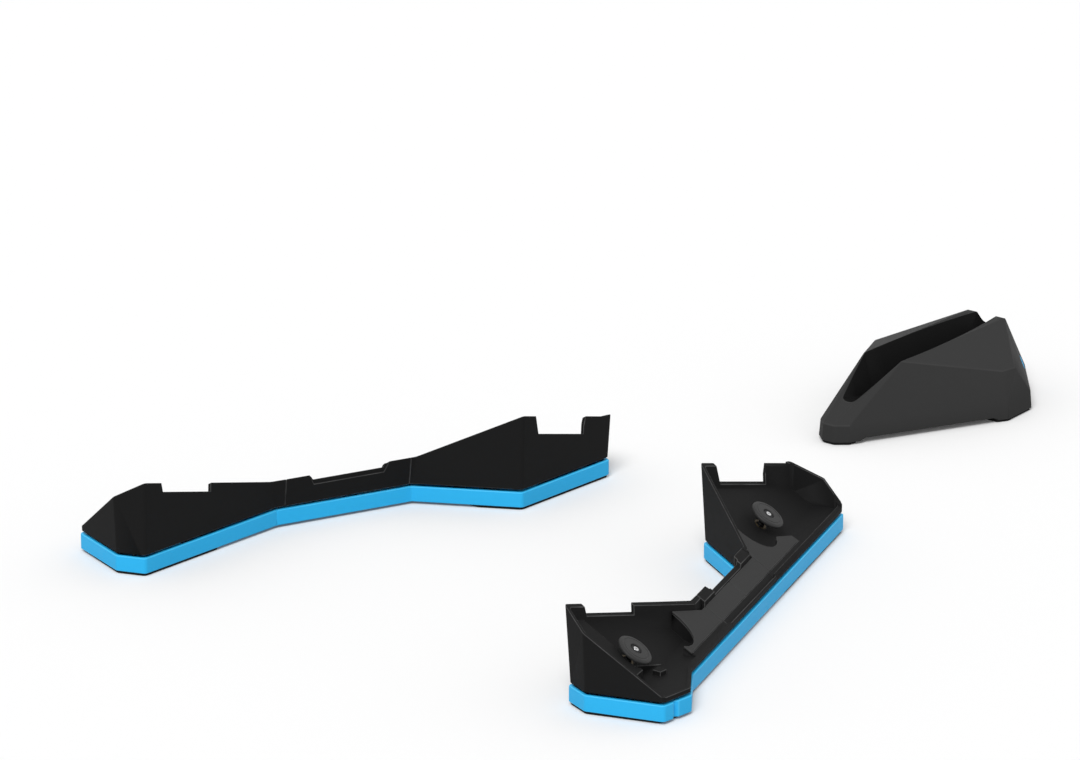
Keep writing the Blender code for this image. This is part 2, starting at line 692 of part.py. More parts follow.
def make_base():
    """The blue base: a pan with ribs, roller housings and the travel stop's boss."""
    body = slab("left_base", base_outline, base_low, base_high, blue_plastic)
    inner = grown(base_corners[:3] + base_corners[6:], [-base_wall] * len(shell_corners))
    inner = rounded(inner, corner_round)
    key_room = Vector((0.0, -key_groove_depth))
    inner = [p + key_room * (1.0 if p.y > rear_outer.y - 12.0 else 0.0) for p in inner]
    floor_at = base_low + base_floor
    hollow = slab("base_hollow", inner, floor_at, base_high + 10.0)
    for number, place in enumerate(rear_rollers + front_rollers):
        cut(hollow, slab("housing_%d" % number, box_outline(place, housing_length, housing_width), cellar, housing_high))
    cut(hollow, rod("stop_boss", world(stop_at, 0.0), Vector((0, 0, 1)), stop_boss_radius, cellar, stop_boss_high))
    rib_half = rib_thick / 2
    middle = bar_width / 2
    cut(hollow, strip("rib_long", ((middle - rib_half, cellar), (middle + rib_half, cellar),
                                   (middle + rib_half, rib_high), (middle - rib_half, rib_high)), 10.0, 480.0))
    for number, along in enumerate((165.0, seam_front, seam_middle, seam_rear, 470.0)):
        cut(hollow, strip("rib_cross_%d" % number, ((-20.0, cellar), (200.0, cellar), (200.0, rib_high),
                                                    (-20.0, rib_high)), along - rib_half, along + rib_half))
    cut(body, hollow)
    for number, place in enumerate(rear_rollers + front_rollers):
        pocket = slab("roller_pocket_%d" % number, box_outline(place, 2 * (roller_radius + pocket_gap),
                                                               roller_width + 2 * side_gap),
                      roller_height - roller_radius - 0.5, base_high + 10.0)
        slot = slab("axle_slot_%d" % number, box_outline(place, 2 * (axle_radius + seat_gap),
                                                         axle_length + 2 * seat_gap),
                    roller_height - axle_radius - seat_gap, base_high + 10.0)
        cut(body, pocket, slot)
    return cut(body, rod("stop_bore", world(stop_at, 0.0), Vector((0, 0, 1)), stop_radius + seat_gap,
                         stop_low - seat_gap, base_high + 10.0))


def make_feet():
    inner = grown(base_corners[:3] + base_corners[6:], [-foot_inset] * len(shell_corners))
    inner = rounded(inner, corner_round)
    key_room = Vector((0.0, -key_groove_depth))
    inner = [p + key_room * (1.0 if p.y > rear_outer.y - 12.0 else 0.0) for p in inner]
    slab("left_rear_foot", clipped(inner, lambda p: rear_foot_end_x - p.x), 0.0, foot_thick, rubber)
    slab("left_front_foot", clipped(inner, lambda p: p.x - front_foot_end_x), 0.0, foot_thick, rubber)


def make_panels():
    """The decks and covers that show lighter on the trays and the bar."""
    deck_low, deck_high = tilted(deck_drop + deck_thick), tilted(deck_drop)
    slab("left_rear_deck", deck_rear_outline(0.0), deck_low, deck_high, deck_plastic)
    slab("left_front_deck", deck_front_outline(0.0), deck_low, deck_high, deck_plastic)
    half = seam_gap / 2
    slab("left_bar_cover_front", cover_outline(seam_front + half, seam_middle, 0.0), deck_low, deck_high, deck_plastic)
    slab("left_bar_cover_rear", cover_outline(seam_middle, seam_rear - half, 0.0), deck_low, deck_high, deck_plastic)


def make_pad(name, at):
    """A round height pad, its screw and the insert that the screw turns in."""
    place = pad_place(at)
    bore = screw_radius + running_gap
    turned(name, place, pad_axis,
           ((pad_radius - pad_edge, 0.0), (pad_radius, -pad_edge), (pad_radius, -pad_thick), (bore, -pad_thick),
            (bore, -pad_bore_depth), (pad_bore_radius, -pad_bore_depth), (pad_bore_radius, 0.0)), deck_plastic)
    head_low = -pad_bore_depth + seat_gap
    tip = -deck_to_floor - screw_reach
    turned(name + "_screw", place, pad_axis,
           ((1.2, head_low + screw_head_thick), (screw_head_radius - 0.5, head_low + screw_head_thick),
            (screw_head_radius, head_low + screw_head_thick - 0.5),
            (screw_head_radius, head_low), (screw_radius, head_low), (screw_radius, tip + 0.8),
            (screw_radius - 0.8, tip), (1.2, tip)), steel)
    top = -deck_to_floor
    turned(name + "_insert", place, pad_axis,
           ((insert_radius, top), (insert_radius, top - insert_depth), (bore, top - insert_depth), (bore, top)), brass)


def make_roller(name, place):
    """A roller and its axle, which lies across the plate."""
    side = Vector((0, 1, 0))
    centre = world(place, roller_height)
    half = roller_width / 2
    bore = axle_radius + seat_gap
    turned(name, centre, side,
           ((roller_radius - roller_edge, half), (roller_radius, half - roller_edge),
            (roller_radius, roller_edge - half), (roller_radius - roller_edge, -half), (bore, -half), (bore, half)),
           roller_plastic)
    rod(name + "_axle", centre, side, axle_radius, -axle_length / 2, axle_length / 2, steel, 20)


def block_hull(name, inset, low, material=None):
    """The block's faceted body: the hull of its mirrored points, moved in by an inset."""
    home = world(block_point((block_outline_half[0][0] + block_outline_half[-1][0]) / 2, 0.0), 0.0)
    bm = bmesh.new()
    for draft, height in ((0.0, low), (skirt_draft, block_skirt - inset)):
        for point in rounded(grown(block_corners, [-inset - draft] * len(block_corners)), corner_round):
            bm.verts.new(world(point, height) - home)
    for along, across, height in (lip_rear, lip_front, lip_peak, crease_end, shoulder_end):
        for side in (-1.0, 1.0):
            point = block_point(along - (inset if along > 600.0 else 0.0), side * (across - inset))
            bm.verts.new(world(point, height - inset) - home)
    made = bmesh.ops.convex_hull(bm, input=bm.verts)
    spare = {v for v in made["geom_interior"] + made["geom_unused"] if isinstance(v, bmesh.types.BMVert)}
    bmesh.ops.delete(bm, geom=list(spare), context="VERTS")
    bmesh.ops.dissolve_limit(bm, angle_limit=math.radians(1.5), verts=bm.verts, edges=bm.edges)
    return finish_mesh(name, bm, home, material, parts if material else cutters)


def block_groove(name, spread):
    """The wheel's groove: an arc of floor between flared sides, widened and lowered by a spread."""
    span = groove_crest[0] - groove_foot[0]
    rise = groove_crest[1] - groove_foot[1]
    chord = math.hypot(span, rise)
    sag = math.sqrt(wheel_radius ** 2 - chord ** 2 / 4)
    centre = ((groove_foot[0] + groove_crest[0]) / 2 - rise / chord * sag,
              (groove_foot[1] + groove_crest[1]) / 2 + span / chord * sag)
    start = math.atan2(groove_foot[1] - centre[1], groove_foot[0] - centre[0])
    stop = math.atan2(groove_crest[1] - centre[1], groove_crest[0] - centre[0])
    step = (stop - start) / groove_steps
    floor = [(centre[0] + (wheel_radius + spread) * math.cos(start + step * k),
              centre[1] + (wheel_radius + spread) * math.sin(start + step * k))
             for k in range(-2, groove_steps + 3)]
    home = world(block_point(floor[0][0], 0.0), 0.0)
    low = groove_floor_half + spread
    high = low + groove_flare * sky
    bm = bmesh.new()
    section = rounded(((low, 0.0), (high, sky), (-high, sky), (-low, 0.0)), groove_round + spread, sharp=(1, 2))
    rings = []
    for along, height in floor:
        rings.append([bm.verts.new(world(block_point(along, b), height + z) - home) for b, z in section])
    for before, after in zip(rings, rings[1:]):
        for k in range(len(section)):
            following = (k + 1) % len(section)
            bm.faces.new((before[k], before[following], after[following], after[k]))
    bm.faces.new(rings[0])
    bm.faces.new(rings[-1])
    return finish_mesh(name, bm, home, None, cutters)


def badge_place(side):
    """The middle and the normal of a badge on one front face of the block."""
    nose = block_outline_half[-1]
    corners = [world(block_point(along, side * across), height)
               for along, across, height in (lip_peak, shoulder_end, (nose[0] - skirt_draft, nose[1], block_skirt))]
    middle = sum((corner * share for corner, share in zip(corners, badge_at)), Vector())
    normal = (corners[1] - corners[0]).cross(corners[2] - corners[0]).normalized()
    return middle, normal if normal.x > 0 else -normal


def make_block():
    """The front-wheel riser: a faceted shell with a curved groove, its plate, feet and badges."""
    shell = block_hull("block_shell", 0.0, block_low, block_plastic)
    hollow = block_hull("block_hollow", block_wall, block_low - 2.0)
    cut(hollow, block_groove("block_groove_skin", block_wall))
    arch_high = block_low + block_arch
    profile = ((arch_start_x, cellar), (arch_start_x, block_low), (arch_start_x + arch_slope, arch_high),
               (arch_stop_x - arch_slope, arch_high), (arch_stop_x, block_low), (arch_stop_x, cellar))
    arch = loft("block_arch", [world(block_point(a, -150.0), z) for a, z in profile],
                [world(block_point(a, 150.0), z) for a, z in profile])
    cut(shell, block_groove("block_groove", 0.0), hollow, arch)
    plate_low = arch_high + seat_gap
    inset = block_wall + skirt_draft / 2 + seat_gap
    slab("block_base_plate", rounded(grown(block_corners, [-inset] * len(block_corners)), corner_round),
         plate_low, plate_low + block_plate_thick, block_plastic)
    foot_outline = rounded(grown(block_corners, [-foot_inset] * len(block_corners)), corner_round)
    slab("block_rear_foot", clipped(foot_outline, lambda p: arch_start_x - p.x), 0.0, block_low - seat_gap, rubber)
    slab("block_front_foot", clipped(foot_outline, lambda p: p.x - arch_stop_x), 0.0, block_low - seat_gap, rubber)
    for name, side in (("left", 1.0), ("right", -1.0)):
        middle, normal = badge_place(side)
        cut(shell, rod("badge_seat_" + name, middle, normal, badge_radius + seat_gap, -badge_sink - seat_gap, 20.0))
        rod("block_badge_" + name, middle, normal, badge_radius, -badge_sink, badge_proud, blue_plastic)


def mirrored():
    """Make the right plate: each left piece again, on the other side of the bicycle."""
    flip = Matrix.Scale(-1.0, 4, (0.0, 1.0, 0.0))
    view = bpy.context.evaluated_depsgraph_get()
    for left in [thing for thing in parts.objects if thing.name.startswith("left_")]:
        mesh = bpy.data.meshes.new_from_object(left.evaluated_get(view))
        home = left.matrix_world.translation.copy()
        mesh.transform(flip @ Matrix.Translation(-home) @ left.matrix_world)
        mesh.flip_normals()
        right = bpy.data.objects.new(left.name.replace("left_", "right_"), mesh)
        right.location = flip @ home
        mesh.name = right.name
        parts.objects.link(right)


def hang_on_slides():
    """Parent the moving pieces to an empty on each plate's slide, and each screw to its pad."""
    for side, sign in (("left", 1.0), ("right", -1.0)):
        slide = bpy.data.objects.new(side + "_slide", None)
        slide.location = world((stop_at[0], sign * stop_at[1]), tray_low)
        parts.objects.link(slide)
        bpy.context.view_layer.update()
        riding = ("rear_tray", "bar_beam", "front_tray", "rear_deck", "front_deck", "bar_cover_front",
                  "bar_cover_rear", "rear_pad", "front_pad", "rear_pad_insert", "front_pad_insert")
        for name in riding:
            thing = bpy.data.objects["%s_%s" % (side, name)]
            thing.parent = slide
            thing.matrix_parent_inverse = slide.matrix_world.inverted()
        for end in ("rear", "front"):
            screw = bpy.data.objects["%s_%s_pad_screw" % (side, end)]
            pad = bpy.data.objects["%s_%s_pad" % (side, end)]
            bpy.context.view_layer.update()
            screw.parent = pad
            screw.matrix_parent_inverse = pad.matrix_world.inverted()


make_base()
make_feet()
make_rear_tray()
make_bar_beam()
make_front_tray()
make_panels()
make_pad("left_rear_pad", rear_pad_at)
make_pad("left_front_pad", front_pad_at)
for number, place in enumerate(rear_rollers + front_rollers):
    make_roller("left_roller_%d" % (number + 1), place)
rod("left_travel_stop", world(stop_at, 0.0), Vector((0, 0, 1)), stop_radius, stop_low, stop_high, rubber, 20)
bpy.context.view_layer.update()
mirrored()
make_block()
bpy.context.view_layer.update()
hang_on_slides()
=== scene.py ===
# Looks for a pair of rolling trainer plates and a front wheel riser block.
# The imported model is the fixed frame. Every piece made here rides on one of its bodies.
import json
import math

import bmesh
import bpy
from mathutils import Matrix, Vector
from mathutils.bvhtree import BVHTree


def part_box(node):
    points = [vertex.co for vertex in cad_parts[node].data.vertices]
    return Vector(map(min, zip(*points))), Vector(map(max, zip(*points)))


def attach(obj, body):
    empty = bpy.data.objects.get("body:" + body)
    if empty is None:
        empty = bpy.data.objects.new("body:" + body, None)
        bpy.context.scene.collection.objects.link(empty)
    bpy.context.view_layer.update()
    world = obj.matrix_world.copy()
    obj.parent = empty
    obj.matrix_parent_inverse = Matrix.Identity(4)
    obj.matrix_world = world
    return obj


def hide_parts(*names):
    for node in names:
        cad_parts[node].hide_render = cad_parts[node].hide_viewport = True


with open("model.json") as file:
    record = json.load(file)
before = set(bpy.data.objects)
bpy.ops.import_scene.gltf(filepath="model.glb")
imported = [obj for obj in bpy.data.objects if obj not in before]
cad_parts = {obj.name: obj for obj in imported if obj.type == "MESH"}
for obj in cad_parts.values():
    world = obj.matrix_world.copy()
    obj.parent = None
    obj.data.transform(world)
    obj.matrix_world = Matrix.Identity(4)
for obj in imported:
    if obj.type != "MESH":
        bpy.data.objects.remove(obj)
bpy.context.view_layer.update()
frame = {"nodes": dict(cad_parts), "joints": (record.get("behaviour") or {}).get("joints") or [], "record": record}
nodes = frame["nodes"]
joints = {joint["name"]: joint for joint in frame["joints"]}
bodies = frame["record"]["behaviour"]["bodies"]
bodyOf = {node: body for body, members in bodies.items() for node in members}
slotOf = {part["node"]: part["material_slot"] for part in frame["record"]["subparts"]}
mm = 0.001
sides = ("left", "right")
scene = bpy.context.scene
scene.view_settings.view_transform = "Standard"
print("frame loaded,", len(nodes), "nodes")

cameraValues = {"place": (-4.88474, -3.91083, 2.15237), "yaw": 49.77, "down": 17.85,
                "lens": 204.17, "sensor": 36.0, "far": 100.0}
lightValues = {"world": 0.62, "sunStrength": 2.0, "sunSpread": 28.0, "sunWay": (0.75, 0.38, -1.0)}
floorValues = {"size": 60.0, "drop": 0.1, "seen": (0.9, 0.9, 0.9), "bounced": (0.4, 0.4, 0.4),
               "roughness": 0.9, "glow": 0.05}


def makeCamera():
    v = cameraValues
    yaw, down = math.radians(v["yaw"]), math.radians(v["down"])
    level = math.cos(down)
    ahead = Vector((math.sin(yaw) * level, math.cos(yaw) * level, -math.sin(down)))
    camera = bpy.data.objects.new("camera", bpy.data.cameras.new("camera"))
    camera.location = v["place"]
    camera.rotation_mode = "QUATERNION"
    camera.rotation_quaternion = ahead.to_track_quat("-Z", "Y")
    camera.data.lens = v["lens"]
    camera.data.sensor_width = v["sensor"]
    camera.data.clip_end = v["far"]
    scene.collection.objects.link(camera)
    scene.camera = camera


def mathNode(tree, operation, first, second):
    node = tree.nodes.new("ShaderNodeMath")
    node.operation = operation
    for socket, value in zip(node.inputs, (first, second)):
        if isinstance(value, (int, float)):
            socket.default_value = value
        else:
            tree.links.new(value, socket)
    return node.outputs[0]


def mixColour(tree, factor, first, second, blend="MIX"):
    node = tree.nodes.new("ShaderNodeMix")
    node.data_type = "RGBA"
    node.blend_type = blend
    for name, value in (("Factor_Float", factor), ("A_Color", first), ("B_Color", second)):
        socket = next(s for s in node.inputs if s.identifier == name)
        if isinstance(value, bpy.types.NodeSocket):
            tree.links.new(value, socket)
        else:
            socket.default_value = value
    return next(s for s in node.outputs if s.identifier == "Result_Color")


def mixShaders(tree, factor, first, second, outlet):
    mix = tree.nodes.new("ShaderNodeMixShader")
    for socket, value in zip(mix.inputs, (factor, first, second)):
        tree.links.new(value, socket)
    tree.links.new(mix.outputs[0], outlet)


def makeWorld():
    world = bpy.data.worlds.new("studio")
    world.use_nodes = True
    scene.world = world
    tree = world.node_tree
    lit = tree.nodes["Background"]
    lit.inputs["Strength"].default_value = lightValues["world"]
    seen = tree.nodes.new("ShaderNodeBackground")       # the camera, gloss and glass see it white
    for background in (lit, seen):
        background.inputs["Color"].default_value = (1.0, 1.0, 1.0, 1.0)
    path = tree.nodes.new("ShaderNodeLightPath").outputs
    direct = mathNode(tree, "MAXIMUM", path["Is Camera Ray"], path["Is Glossy Ray"])
    either = mathNode(tree, "MAXIMUM", direct, path["Is Transmission Ray"])
    mixShaders(tree, either, lit.outputs[0], seen.outputs[0],
               tree.nodes["World Output"].inputs["Surface"])


def makeSun():
    sun = bpy.data.objects.new("softKey", bpy.data.lights.new("softKey", "SUN"))
    sun.data.energy = lightValues["sunStrength"]
    sun.data.angle = math.radians(lightValues["sunSpread"])
    sun.rotation_mode = "QUATERNION"
    sun.rotation_quaternion = Vector(lightValues["sunWay"]).to_track_quat("-Z", "Y")
    scene.collection.objects.link(sun)


def startMaterial(name):
    material = bpy.data.materials.new(name)
    material.use_nodes = True
    return material, material.node_tree, material.node_tree.nodes["Principled BSDF"]


# The floor is white where it is seen, and gives a calmer bounce.
def makeFloor():
    v = floorValues
    bm = bmesh.new()
    bmesh.ops.create_grid(bm, x_segments=1, y_segments=1, size=v["size"] / 2)
    bmesh.ops.translate(bm, verts=bm.verts, vec=(0.0, 0.0, -v["drop"] * mm))
    mesh = bpy.data.meshes.new("floor")
    bm.to_mesh(mesh)
    bm.free()
    floor = bpy.data.objects.new("floor", mesh)
    scene.collection.objects.link(floor)
    material, tree, paint = startMaterial("paleFloor")
    paint.inputs["Roughness"].default_value = v["roughness"]
    path = tree.nodes.new("ShaderNodeLightPath").outputs
    direct = mathNode(tree, "MAXIMUM", path["Is Camera Ray"], path["Is Glossy Ray"])
    tree.links.new(mixColour(tree, direct, (*v["bounced"], 1.0), (*v["seen"], 1.0)),
                   paint.inputs["Base Color"])
    glow = tree.nodes.new("ShaderNodeEmission")
    share = mathNode(tree, "MULTIPLY", path["Is Camera Ray"], v["glow"])
    mixShaders(tree, share, paint.outputs[0], glow.outputs[0],
               tree.nodes["Material Output"].inputs["Surface"])
    mesh.materials.append(material)


makeCamera()
makeWorld()
makeSun()
makeFloor()
print("camera, light and floor ready")


def newGroup(name, inputs, outputs):
    group = bpy.data.node_groups.new(name, "ShaderNodeTree")
    kinds = {"value": "NodeSocketFloat", "colour": "NodeSocketColor"}
    for title, kind, start in inputs:
        socket = group.interface.new_socket(name=title, in_out="INPUT", socket_type=kinds[kind])
        socket.default_value = start
    for title, kind in outputs:
        group.interface.new_socket(name=title, in_out="OUTPUT", socket_type=kinds[kind])
    return group, group.nodes.new("NodeGroupInput"), group.nodes.new("NodeGroupOutput")


def remap(tree, value, low, high, start, stop):
    node = tree.nodes.new("ShaderNodeMapRange")
    settings = (("From Min", low), ("From Max", high), ("To Min", start), ("To Max", stop))
    for name, setting in settings:
        node.inputs[name].default_value = setting
    tree.links.new(value, node.inputs["Value"])
    return node.outputs["Result"]


def noise(tree, vector, scale, detail):
    node = tree.nodes.new("ShaderNodeTexNoise")
    node.inputs["Detail"].default_value = detail
    if isinstance(scale, bpy.types.NodeSocket):
        tree.links.new(scale, node.inputs["Scale"])
    else:
        node.inputs["Scale"].default_value = scale
    tree.links.new(vector, node.inputs["Vector"])
    return node.outputs["Fac"]


grainValues = {"noiseShare": 0.6, "noiseDetail": 3.0, "cellShare": 0.5, "broadScale": 14.0,
               "broadDetail": 4.0, "broadShare": 0.5, "closeScale": 110.0, "closeDetail": 3.0,
               "middle": 0.5}


# Spark-eroded mould grain, with a faint mottle in the colour and in the gloss.
def makeGrainGroup():
    v = grainValues
    group, inlet, outlet = newGroup(
        "mouldGrain",
        (("Colour", "colour", (0.1, 0.1, 0.1, 1.0)), ("Roughness", "value", 0.5),
         ("Grain Scale", "value", 1500.0), ("Mottle", "value", 0.06),
         ("Gloss Mottle", "value", 0.06)),
        (("Colour", "colour"), ("Roughness", "value"), ("Height", "value")))
    coords = group.nodes.new("ShaderNodeTexCoord").outputs["Object"]
    cells = group.nodes.new("ShaderNodeTexVoronoi")
    group.links.new(coords, cells.inputs["Vector"])
    group.links.new(inlet.outputs["Grain Scale"], cells.inputs["Scale"])
    fine = noise(group, coords, inlet.outputs["Grain Scale"], v["noiseDetail"])
    bumps = mathNode(group, "MULTIPLY", fine, v["noiseShare"])
    pits = mathNode(group, "MULTIPLY", cells.outputs["Distance"], v["cellShare"])
    group.links.new(mathNode(group, "ADD", bumps, pits), outlet.inputs["Height"])
    broad = mathNode(group, "MULTIPLY", noise(group, coords, v["broadScale"], v["broadDetail"]),
                     v["broadShare"])
    close = mathNode(group, "MULTIPLY", noise(group, coords, v["closeScale"], v["closeDetail"]),
                     1.0 - v["broadShare"])
    centred = mathNode(group, "SUBTRACT", mathNode(group, "ADD", broad, close), v["middle"])
    tint = mathNode(group, "MULTIPLY", centred, inlet.outputs["Mottle"])
    shade = mathNode(group, "ADD", 1.0, tint)
    grey = group.nodes.new("ShaderNodeCombineColor")
    for socket in grey.inputs:
        group.links.new(shade, socket)
    mottled = mixColour(group, 1.0, inlet.outputs["Colour"], grey.outputs[0], "MULTIPLY")
    group.links.new(mottled, outlet.inputs["Colour"])
    gloss = mathNode(group, "MULTIPLY", centred, inlet.outputs["Gloss Mottle"])
    group.links.new(mathNode(group, "ADD", inlet.outputs["Roughness"], gloss),
                    outlet.inputs["Roughness"])
    return group


edgeHighlightValues = {"patchScale": 45.0, "patchDetail": 4.0, "patchFrom": 0.3, "patchTo": 0.65,
                "patchLeast": 0.35, "smoother": 0.12}


# Painted highlight: the outer rounded edges get a paler colour that stands for the light their rims catch, and a
# smoother gloss. The pieces mark those faces as edgeHighlightMark.
def makeEdgeGroup():
    v = edgeHighlightValues
    group, inlet, outlet = newGroup(
        "paintedEdgeHighlight",
        (("Colour", "colour", (0.1, 0.1, 0.1, 1.0)),
         ("Edge Colour", "colour", (0.2, 0.2, 0.2, 1.0)),
         ("Roughness", "value", 0.5), ("Amount", "value", 0.5)),
        (("Colour", "colour"), ("Roughness", "value")))
    marked = group.nodes.new("ShaderNodeAttribute")
    marked.attribute_name = "edgeHighlightMark"
    coords = group.nodes.new("ShaderNodeTexCoord").outputs["Object"]
    patches = remap(group, noise(group, coords, v["patchScale"], v["patchDetail"]),
                    v["patchFrom"], v["patchTo"], v["patchLeast"], 1.0)
    patchy = mathNode(group, "MULTIPLY", marked.outputs["Fac"], patches)
    mask = mathNode(group, "MULTIPLY", patchy, inlet.outputs["Amount"])
    paler = mixColour(group, mask, inlet.outputs["Colour"], inlet.outputs["Edge Colour"])
    group.links.new(paler, outlet.inputs["Colour"])
    polish = mathNode(group, "MULTIPLY", mask, v["smoother"])
    group.links.new(mathNode(group, "SUBTRACT", inlet.outputs["Roughness"], polish),
                    outlet.inputs["Roughness"])
    return group


grainGroup = makeGrainGroup()
edgeGroup = makeEdgeGroup()


# Puts a group in a material. A name like Edge_Colour means the socket Edge Colour.
def placeGroup(tree, group, **values):
    node = tree.nodes.new("ShaderNodeGroup")
    node.node_tree = group
    for name, value in values.items():
        socket = node.inputs[name.replace("_", " ")]
        if isinstance(value, bpy.types.NodeSocket):
            tree.links.new(value, socket)
        else:
            socket.default_value = value
    return node.outputs


def addBump(tree, paint, height, distance):
    bump = tree.nodes.new("ShaderNodeBump")
    bump.inputs["Distance"].default_value = distance
    tree.links.new(height, bump.inputs["Height"])
    tree.links.new(bump.outputs["Normal"], paint.inputs["Normal"])


def mouldedPlastic(name, v):
    material, tree, paint = startMaterial(name)
    grain = placeGroup(tree, grainGroup, Colour=(*v["colour"], 1.0), Roughness=v["roughness"],
                       Grain_Scale=v["grainScale"], Mottle=v["mottle"],
                       Gloss_Mottle=v["glossMottle"])
    # Painted highlight on the rounded outer edges, over the grain.
    edges = placeGroup(tree, edgeGroup, Colour=grain["Colour"], Roughness=grain["Roughness"],
                       Edge_Colour=(*v["highlightColour"], 1.0), Amount=v["highlightShare"])
    tree.links.new(edges["Colour"], paint.inputs["Base Color"])
    tree.links.new(edges["Roughness"], paint.inputs["Roughness"])
    addBump(tree, paint, grain["Height"], v["grainDepth"] * mm)
    paint.inputs["Specular IOR Level"].default_value = v["shine"]
    return material


# Each highlightColour is a painted highlight for the light on a rounded outer edge, and highlightShare is how
# strongly it shows.
blueValues = {"colour": (0.029, 0.49, 0.92), "highlightColour": (0.1, 0.6, 0.94), "roughness": 0.5,
              "grainScale": 1700.0, "grainDepth": 0.05, "mottle": 0.04, "glossMottle": 0.1,
              "highlightShare": 0.6, "shine": 0.2}
blackValues = {"colour": (0.0118, 0.0118, 0.0119), "highlightColour": (0.085, 0.085, 0.085),
               "roughness": 0.66, "grainScale": 1500.0, "grainDepth": 0.07, "mottle": 0.15,
               "glossMottle": 0.15, "highlightShare": 1.0, "shine": 0.05}
deckValues = {"colour": (0.037, 0.037, 0.037), "highlightColour": (0.07, 0.07, 0.07),
              "roughness": 0.65, "grainScale": 1300.0, "grainDepth": 0.09, "mottle": 0.08,
              "glossMottle": 0.1, "highlightShare": 0.4, "shine": 0.08}
blockValues = {"colour": (0.0345, 0.0345, 0.0345), "highlightColour": (0.06, 0.06, 0.06),
               "roughness": 0.65, "grainScale": 1400.0, "grainDepth": 0.09, "mottle": 0.08,
               "glossMottle": 0.1, "highlightShare": 0.4, "shine": 0.05}
# Painted shade: a near-black colour for the inside of the riser's groove, where little light reaches.
grooveShadeValues = {"colour": (0.0065, 0.0065, 0.0065), "highlightColour": (0.03, 0.03, 0.03),
                       "roughness": 0.7, "grainScale": 1400.0, "grainDepth": 0.06,
                       "mottle": 0.12, "glossMottle": 0.1, "highlightShare": 0.5, "shine": 0.04}
padPlasticValues = {"colour": (0.024, 0.024, 0.024), "highlightColour": (0.06, 0.06, 0.06),
                    "roughness": 0.55, "grainScale": 1300.0, "grainDepth": 0.06, "mottle": 0.1,
                    "glossMottle": 0.15, "highlightShare": 0.5, "shine": 0.25}
nylonValues = {"colour": (0.72, 0.72, 0.69), "highlightColour": (0.8, 0.8, 0.78), "roughness": 0.34,
               "grainScale": 900.0, "grainDepth": 0.02, "mottle": 0.05, "glossMottle": 0.1,
               "highlightShare": 0.3, "shine": 0.5}
rubberValues = {"colour": (0.012, 0.012, 0.012), "roughness": 0.86, "grainScale": 800.0,
                "mottle": 0.3, "glossMottle": 0.1, "ribScale": 210.0, "ribShare": 3.0,
                "depth": 0.12, "shine": 0.2}


# Foot rubber: a dull skin with fine ribs across it.
def makeRubber(name, v):
    material, tree, paint = startMaterial(name)
    grain = placeGroup(tree, grainGroup, Colour=(*v["colour"], 1.0), Roughness=v["roughness"],
                       Grain_Scale=v["grainScale"], Mottle=v["mottle"],
                       Gloss_Mottle=v["glossMottle"])
    tree.links.new(grain["Colour"], paint.inputs["Base Color"])
    tree.links.new(grain["Roughness"], paint.inputs["Roughness"])
    ribs = tree.nodes.new("ShaderNodeTexWave")
    ribs.bands_direction = "DIAGONAL"
    ribs.inputs["Scale"].default_value = v["ribScale"]
    coords = tree.nodes.new("ShaderNodeTexCoord").outputs["Object"]
    tree.links.new(coords, ribs.inputs["Vector"])
    ribHeight = mathNode(tree, "MULTIPLY", ribs.outputs["Fac"], v["ribShare"])
    addBump(tree, paint, mathNode(tree, "ADD", grain["Height"], ribHeight), v["depth"] * mm)
    paint.inputs["Specular IOR Level"].default_value = v["shine"]
    return material


turnedValues = {"scratchDetail": 4.0, "scratchFrom": 0.3, "scratchTo": 0.7, "smoother": 0.07,
                "rougher": 0.1, "depth": 0.01, "blotchScale": 120.0, "blotchDetail": 3.0}
steelValues = {"colour": (0.62, 0.62, 0.63), "tarnish": (0.5, 0.5, 0.5), "roughness": 0.28,
               "scratchScale": 2200.0}
darkSteelValues = {"colour": (0.03, 0.03, 0.032), "tarnish": (0.018, 0.018, 0.018),
                   "roughness": 0.5, "scratchScale": 2000.0}
brassValues = {"colour": (0.09, 0.065, 0.03), "tarnish": (0.045, 0.033, 0.018),
               "roughness": 0.45, "scratchScale": 1800.0}


# Turned metal: fine scratches in its gloss and duller blotches in its colour.
def makeMetal(name, v):
    t = turnedValues
    material, tree, paint = startMaterial(name)
    coords = tree.nodes.new("ShaderNodeTexCoord").outputs["Object"]
    scratches = noise(tree, coords, v["scratchScale"], t["scratchDetail"])
    blotches = noise(tree, coords, t["blotchScale"], t["blotchDetail"])
    tree.links.new(mixColour(tree, blotches, (*v["colour"], 1.0), (*v["tarnish"], 1.0)),
                   paint.inputs["Base Color"])
    tree.links.new(remap(tree, scratches, t["scratchFrom"], t["scratchTo"],
                         v["roughness"] - t["smoother"], v["roughness"] + t["rougher"]),
                   paint.inputs["Roughness"])
    paint.inputs["Metallic"].default_value = 1.0
    addBump(tree, paint, scratches, t["depth"] * mm)
    return material


darkSteel = makeMetal("blackenedSteel", darkSteelValues)
padPlastic = mouldedPlastic("padMoulding", padPlasticValues)
grooveShadeMaterial = mouldedPlastic("paintedGrooveShade", grooveShadeValues)
materials = {"blue_plastic": mouldedPlastic("blueMoulding", blueValues),
             "black_plastic": mouldedPlastic("blackMoulding", blackValues),
             "deck_plastic": mouldedPlastic("deckMoulding", deckValues),
             "block_plastic": mouldedPlastic("blockMoulding", blockValues),
             "roller_plastic": mouldedPlastic("rollerNylon", nylonValues),
             "rubber": makeRubber("footRubber", rubberValues),
             "steel": makeMetal("zincedSteel", steelValues),
             "brass": makeMetal("agedBrass", brassValues)}
print("materials ready")

shadingValues = {"sharpAngle": 50.0}


